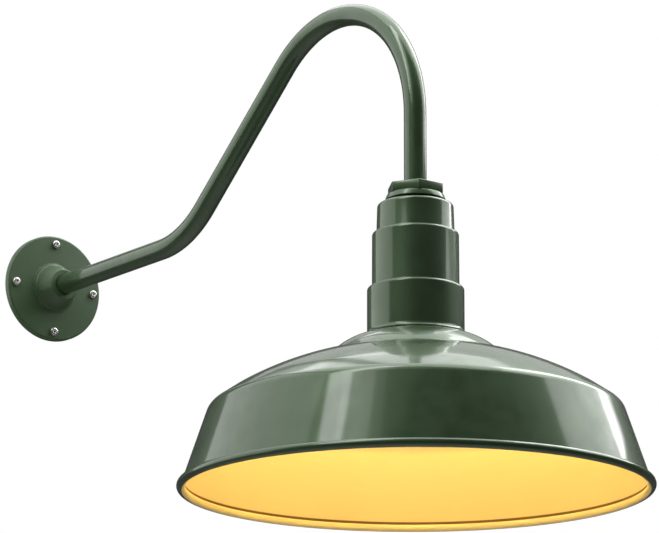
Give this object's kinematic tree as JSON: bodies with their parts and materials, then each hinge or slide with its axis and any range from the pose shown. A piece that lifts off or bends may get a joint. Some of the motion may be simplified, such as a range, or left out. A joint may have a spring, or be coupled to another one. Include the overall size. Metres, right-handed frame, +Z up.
{
  "type": "outdoor wall lantern",
  "caption": "Gooseneck wall lantern: bent tube arm on a round wall flange, carrying a wide spun shade with a stepped neck, a lamp socket and a screw-in bulb.",
  "frame": {"origin": "centre of the wall flange's back face, on the wall plane y = 0", "axes": "+Y into the wall, so the lamp stands out along -Y; +Z up; the arm lies in the plane x = 0"},
  "size_m": [0.4571, 0.9051, 0.5218],
  "materials": {
    "green_enamel": "gloss",
    "lining_enamel": "satin",
    "stainless": "satin",
    "zinc_steel": "satin",
    "brass": "satin",
    "solder": "satin",
    "porcelain": "gloss",
    "gasket_rubber": "matt",
    "black_insulation": "matt",
    "white_insulation": "matt",
    "green_insulation": "matt",
    "earth_green": "satin",
    "black_glass": "gloss",
    "bulb_glass": "frosted",
    "clear_glass": "clear",
    "tungsten": "matt"
  },
  "bodies": {
    "fixture": {"wall_flange": "green_enamel", "wall_screws": "stainless", "flange_set_screw": "stainless", "gooseneck_arm": "green_enamel", "live_lead": "black_insulation", "neutral_lead": "white_insulation", "earth_lead": "green_insulation", "lead_bushing": "black_insulation", "hub": "green_enamel", "hub_set_screw": "stainless", "hub_gasket": "gasket_rubber", "neck": "green_enamel", "lock_washer": "zinc_steel", "lock_nut": "zinc_steel", "socket_bracket": "zinc_steel", "bracket_screws": "zinc_steel", "earth_screw": "earth_green", "socket_body": "porcelain", "screw_shell": "brass", "centre_contact": "brass", "terminal_screws": "brass", "shade": "green_enamel", "clamp_ring": "lining_enamel", "clamp_screws": "zinc_steel", "clamp_nuts": "zinc_steel"},
    "bulb_tip": {"bulb_contact": "solder"},
    "bulb": {"bulb_insulator": "black_glass", "bulb_cap": "brass", "bulb_glass": "bulb_glass", "bulb_stem": "clear_glass", "filament_supports": "solder", "filament": "tungsten"}
  },
  "joints": [
    {"name": "bulb_drop", "type": "slide", "parent": "fixture", "child": "bulb_tip", "axis": [0, 0, -1], "range_m": [0, 0.0164]},
    {"name": "bulb_unscrew", "type": "hinge", "parent": "bulb_tip", "child": "bulb", "pos_m": [0, -0.6685, -0.2], "axis": [0, 0, -1], "range_deg": [0, 1620]}
  ],
  "couplings": [
    {"joint": "bulb_drop", "follows": "bulb_unscrew", "m_per_rad": 0.00057757}
  ]
}
